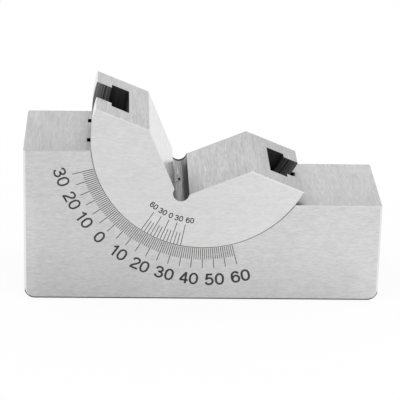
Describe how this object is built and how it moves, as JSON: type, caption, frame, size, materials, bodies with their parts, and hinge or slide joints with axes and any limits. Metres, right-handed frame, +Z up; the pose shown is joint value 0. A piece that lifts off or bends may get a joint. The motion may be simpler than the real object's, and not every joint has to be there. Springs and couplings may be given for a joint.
{
  "type": "tilting v block",
  "caption": "Ground steel block with a round seat that holds a swivelling V-grooved rocker, graduated to set and lock round or square work at an angle.",
  "frame": {"origin": "middle of the base block's underside", "axes": "+X along the base towards its low end, +Y from the graduated front to the back, +Z up"},
  "size_m": [0.075, 0.025, 0.0426],
  "materials": {
    "ground_steel": "fine ground",
    "plain_steel": "machined",
    "blackened_steel": "blackened"
  },
  "bodies": {
    "base": {"base_block": "ground_steel"},
    "rocker": {"v_rocker": "ground_steel"},
    "nut": {"clamp_t_nut": "plain_steel"},
    "screw": {"clamp_screw": "blackened_steel"}
  },
  "joints": [
    {"name": "rocker_tilt", "type": "hinge", "parent": "base", "child": "rocker", "pos_m": [0, 0, 0.03556], "axis": [0, -1, 0], "range_deg": [-52.5, 37.5]},
    {"name": "screw_turn", "type": "hinge", "parent": "base", "child": "screw", "pos_m": [0, 0, 0], "axis": [0, 0, -1], "range_deg": [0, 180]},
    {"name": "nut_lift", "type": "slide", "parent": "base", "child": "nut", "axis": [0, 0, 1], "range_m": [0, 0.00035]}
  ],
  "couplings": [
    {"joint": "screw_turn", "follows": "nut_lift", "rad_per_m": 8975.9}
  ]
}
